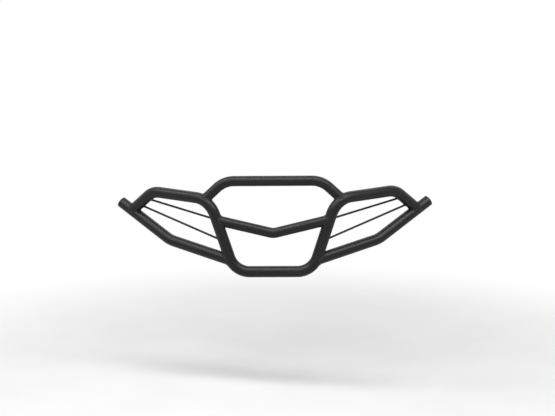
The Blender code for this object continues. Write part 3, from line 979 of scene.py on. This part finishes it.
def hex_bolt():
    """A chamfered hexagon head, a plain shank, and a thread that shows beyond the nut."""
    low = HEAD_SEAT - HEAD_HEIGHT
    end = NUT_TOP + BOLT_SPARE
    root_r = BOLT_R - THREAD_DEPTH
    profile = [(0, low), (CHAMFER_R, low), (HEX_FLATS, low), (HEX_FLATS, HEAD_SEAT)]
    profile += [(BOLT_R, HEAD_SEAT), (BOLT_R, NUT_WASHER), (root_r, NUT_WASHER + THREAD_DEPTH)]
    profile += [(root_r, end - THREAD_PITCH / 2), (root_r - THREAD_PITCH / 2, end), (0, end)]
    bolt = hexed(turned(profile), {height_key(low): 1})
    add_thread(bolt, NUT_WASHER, end - THREAD_RUN_OUT)
    return bolt


def lock_nut():
    """A hexagon chamfered on both sides, with the round collar that holds the nylon ring."""
    lip_r = COLLAR_R - COLLAR_LIP
    profile = [(BORE_R, NUT_SEAT), (CHAMFER_R, NUT_SEAT), (HEX_FLATS, NUT_SEAT)]
    profile += [(HEX_FLATS, NUT_SHOULDER), (CHAMFER_R, NUT_SHOULDER), (COLLAR_R, NUT_SHOULDER)]
    profile += [(COLLAR_R, NUT_TOP - COLLAR_ROUNDING), (COLLAR_R - COLLAR_ROUNDING, NUT_TOP)]
    profile += [(lip_r, NUT_TOP), (lip_r, NUT_SHOULDER), (BORE_R, NUT_SHOULDER)]
    chamfers = {height_key(NUT_SEAT): 1, height_key(NUT_SHOULDER): -1}
    return hexed(turned(profile, closed=True), chamfers)


def nylon_ring():
    """The ring held in the nut's collar, hugging the thread."""
    outer_r = COLLAR_R - COLLAR_LIP
    high = NUT_TOP - SEAT_GAP
    profile = [(RING_BORE_R, NUT_SHOULDER), (outer_r, NUT_SHOULDER)]
    profile += [(outer_r, high), (RING_BORE_R, high)]
    return turned(profile, closed=True)


def washer(seat):
    """A stamped washer: rounded over on one side by the punch."""
    top = seat + WASHER_THICK
    burr = WASHER_EDGE / 2
    profile = [(BORE_R, seat), (WASHER_R - WASHER_EDGE, seat), (WASHER_R, seat + WASHER_EDGE)]
    profile += [(WASHER_R, top - burr), (WASHER_R - burr, top), (BORE_R, top)]
    return turned(profile, closed=True)


def bolt_line(up, side, twist):
    """Where a bolt stands. The left ones are turned, not mirrored: threads are right-handed."""
    line = TAB_PLANE @ Matrix.Translation((MAIN_R + BOLT_BACK, up, 0))
    if side == "left":
        line = Matrix.Diagonal((-1, 1, 1, 1)) @ line @ Matrix.Diagonal((1, -1, 1, 1))
    return line @ Matrix.Rotation(twist, 4, "Z")


def build_fasteners():
    """A bolt, two washers, a nut and its locking ring at each hole, each as a wrench left it."""
    stacks = [(level, up, side) for level, up in BOLT_PLACES.items() for side in ("left", "right")]
    for k, (level, up, side) in enumerate(stacks):
        line = bolt_line(up, side, WRENCH_STOP * (k + 1))
        nut_line = bolt_line(up, side, WRENCH_STOP * (3 * k + 2))
        place = f"{level}_{side}"
        for name, node, shape, matrix in (
            ("hex_bolt", "bolt", hex_bolt(), line),
            ("flat_washer_head", "head_washer", washer(HEAD_WASHER), line),
            ("flat_washer_nut", "nut_washer", washer(NUT_WASHER), line),
            ("nylon_lock_nut", "lock_nut", lock_nut(), nut_line),
        ):
            placed(shape, matrix)
            add_piece(f"{name}_{place}", shape, ZINC, [f"{node}_{place}"])
        ring = placed(nylon_ring(), nut_line)
        add_piece(f"locking_ring_{place}", ring, NYLON)


def seen_or_mirrored(tree):
    """1 for rays that show the background itself, straight, in gloss or through glass."""
    rays = tree.nodes.new("ShaderNodeLightPath")
    chosen = rays.outputs["Is Camera Ray"]
    for name in ("Is Glossy Ray", "Is Transmission Ray"):
        both = tree.nodes.new("ShaderNodeMath")
        both.operation = "MAXIMUM"
        tree.links.new(chosen, both.inputs[0])
        tree.links.new(rays.outputs[name], both.inputs[1])
        chosen = both.outputs["Value"]
    return chosen


def white_room():
    """A world that looks white, and lights the bumper softly from all round."""
    world = bpy.data.worlds.new("white_room")
    bpy.context.scene.world = world
    world.use_nodes = True
    tree = world.node_tree
    soft = tree.nodes["Background"]
    soft.inputs["Color"].default_value = (1, 1, 1, 1)
    soft.inputs["Strength"].default_value = ROOM_LIGHT
    white = tree.nodes.new("ShaderNodeBackground")
    white.inputs["Color"].default_value = (1, 1, 1, 1)
    mix = tree.nodes.new("ShaderNodeMixShader")
    tree.links.new(seen_or_mirrored(tree), mix.inputs["Fac"])
    tree.links.new(soft.outputs["Background"], mix.inputs[1])
    tree.links.new(white.outputs["Background"], mix.inputs[2])
    tree.links.new(mix.outputs["Shader"], tree.nodes["World Output"].inputs["Surface"])


def fade_to_white(tree, shader):
    """Far from the bumper the floor shows the white of the room, to seen and mirrored rays."""
    place = tree.nodes.new("ShaderNodeTexCoord")
    reach = tree.nodes.new("ShaderNodeVectorMath")
    reach.operation = "LENGTH"
    tree.links.new(place.outputs["Object"], reach.inputs[0])
    spread = tree.nodes.new("ShaderNodeMapRange")
    spread.interpolation_type = "SMOOTHSTEP"
    spread.inputs["From Min"].default_value = FLOOR_SEEN
    spread.inputs["From Max"].default_value = FLOOR_FADED
    tree.links.new(reach.outputs["Value"], spread.inputs["Value"])
    share = tree.nodes.new("ShaderNodeMath")
    share.operation = "MULTIPLY"
    tree.links.new(spread.outputs["Result"], share.inputs[0])
    tree.links.new(seen_or_mirrored(tree), share.inputs[1])
    white = tree.nodes.new("ShaderNodeEmission")
    mix = tree.nodes.new("ShaderNodeMixShader")
    tree.links.new(share.outputs["Value"], mix.inputs["Fac"])
    tree.links.new(shader.outputs["BSDF"], mix.inputs[1])
    tree.links.new(white.outputs["Emission"], mix.inputs[2])
    tree.links.new(mix.outputs["Shader"], tree.nodes["Material Output"].inputs["Surface"])


def pale_floor():
    """A wide pale floor well below the bumper, that turns into the white of the room far away."""
    shape = bmesh.new()
    place = Matrix.Translation((0, 0, -FLOOR_DROP))
    bmesh.ops.create_circle(
        shape, cap_ends=True, radius=FLOOR_RADIUS, segments=FLOOR_SIDES, matrix=place
    )
    mesh = bpy.data.meshes.new("floor")
    shape.to_mesh(mesh)
    shape.free()
    floor = bpy.data.objects.new("floor", mesh)
    bpy.context.scene.collection.objects.link(floor)
    material, tree, shader = new_material("pale_floor")
    mesh.materials.append(material)
    shader.inputs["Roughness"].default_value = 0.9
    shader.inputs["Specular IOR Level"].default_value = 0.1
    cloud = noise(tree, scale=3, detail=2)
    two_tone(tree, cloud, shader.inputs["Base Color"], FLOOR_DARK, FLOOR_LIGHT)
    fade_to_white(tree, shader)


def softbox(name, place, aim, size, power):
    """A wide lamp aimed at a point. The camera doesn't see it, but gloss mirrors it."""
    light = bpy.data.lights.new(name, "AREA")
    light.shape = "RECTANGLE"
    light.size, light.size_y = size
    light.energy = power
    lamp = bpy.data.objects.new(name, light)
    bpy.context.scene.collection.objects.link(lamp)
    way = Vector(aim) - Vector(place)
    lamp.visible_camera = False
    turn = way.to_track_quat("-Z", "Y").to_matrix().to_4x4()
    lamp.matrix_world = Matrix.Translation(place) @ turn


def photo_camera():
    """The camera, fitted to the joints of the frame as the photograph shows them."""
    data = bpy.data.cameras.new("photo_camera")
    data.sensor_width = SENSOR_WIDTH
    data.lens = LENS
    camera = bpy.data.objects.new("photo_camera", data)
    bpy.context.scene.collection.objects.link(camera)
    yaw = Matrix.Rotation(CAMERA_YAW, 4, "Z")
    pitch = Matrix.Rotation(math.radians(90) - CAMERA_PITCH, 4, "X")
    roll = Matrix.Rotation(CAMERA_ROLL, 4, "Z")
    camera.matrix_world = Matrix.Translation(CAMERA_PLACE) @ (yaw @ pitch) @ roll
    bpy.context.scene.camera = camera


main_surface, wing_surface = build_tubes()
build_tube_welds(main_surface, wing_surface)
build_rods(main_surface)
build_end_plugs()
build_lower_lugs()
build_upper_tabs()
build_upper_brackets()
build_fasteners()

white_room()
pale_floor()
softbox("key", KEY_PLACE, LAMP_AIM, KEY_SIZE, KEY_POWER)
softbox("front", FRONT_PLACE, LAMP_AIM, FRONT_SIZE, FRONT_POWER)
softbox("back", BACK_PLACE, LAMP_AIM, BACK_SIZE, BACK_POWER)
photo_camera()
bpy.context.scene.view_settings.view_transform = "Standard"
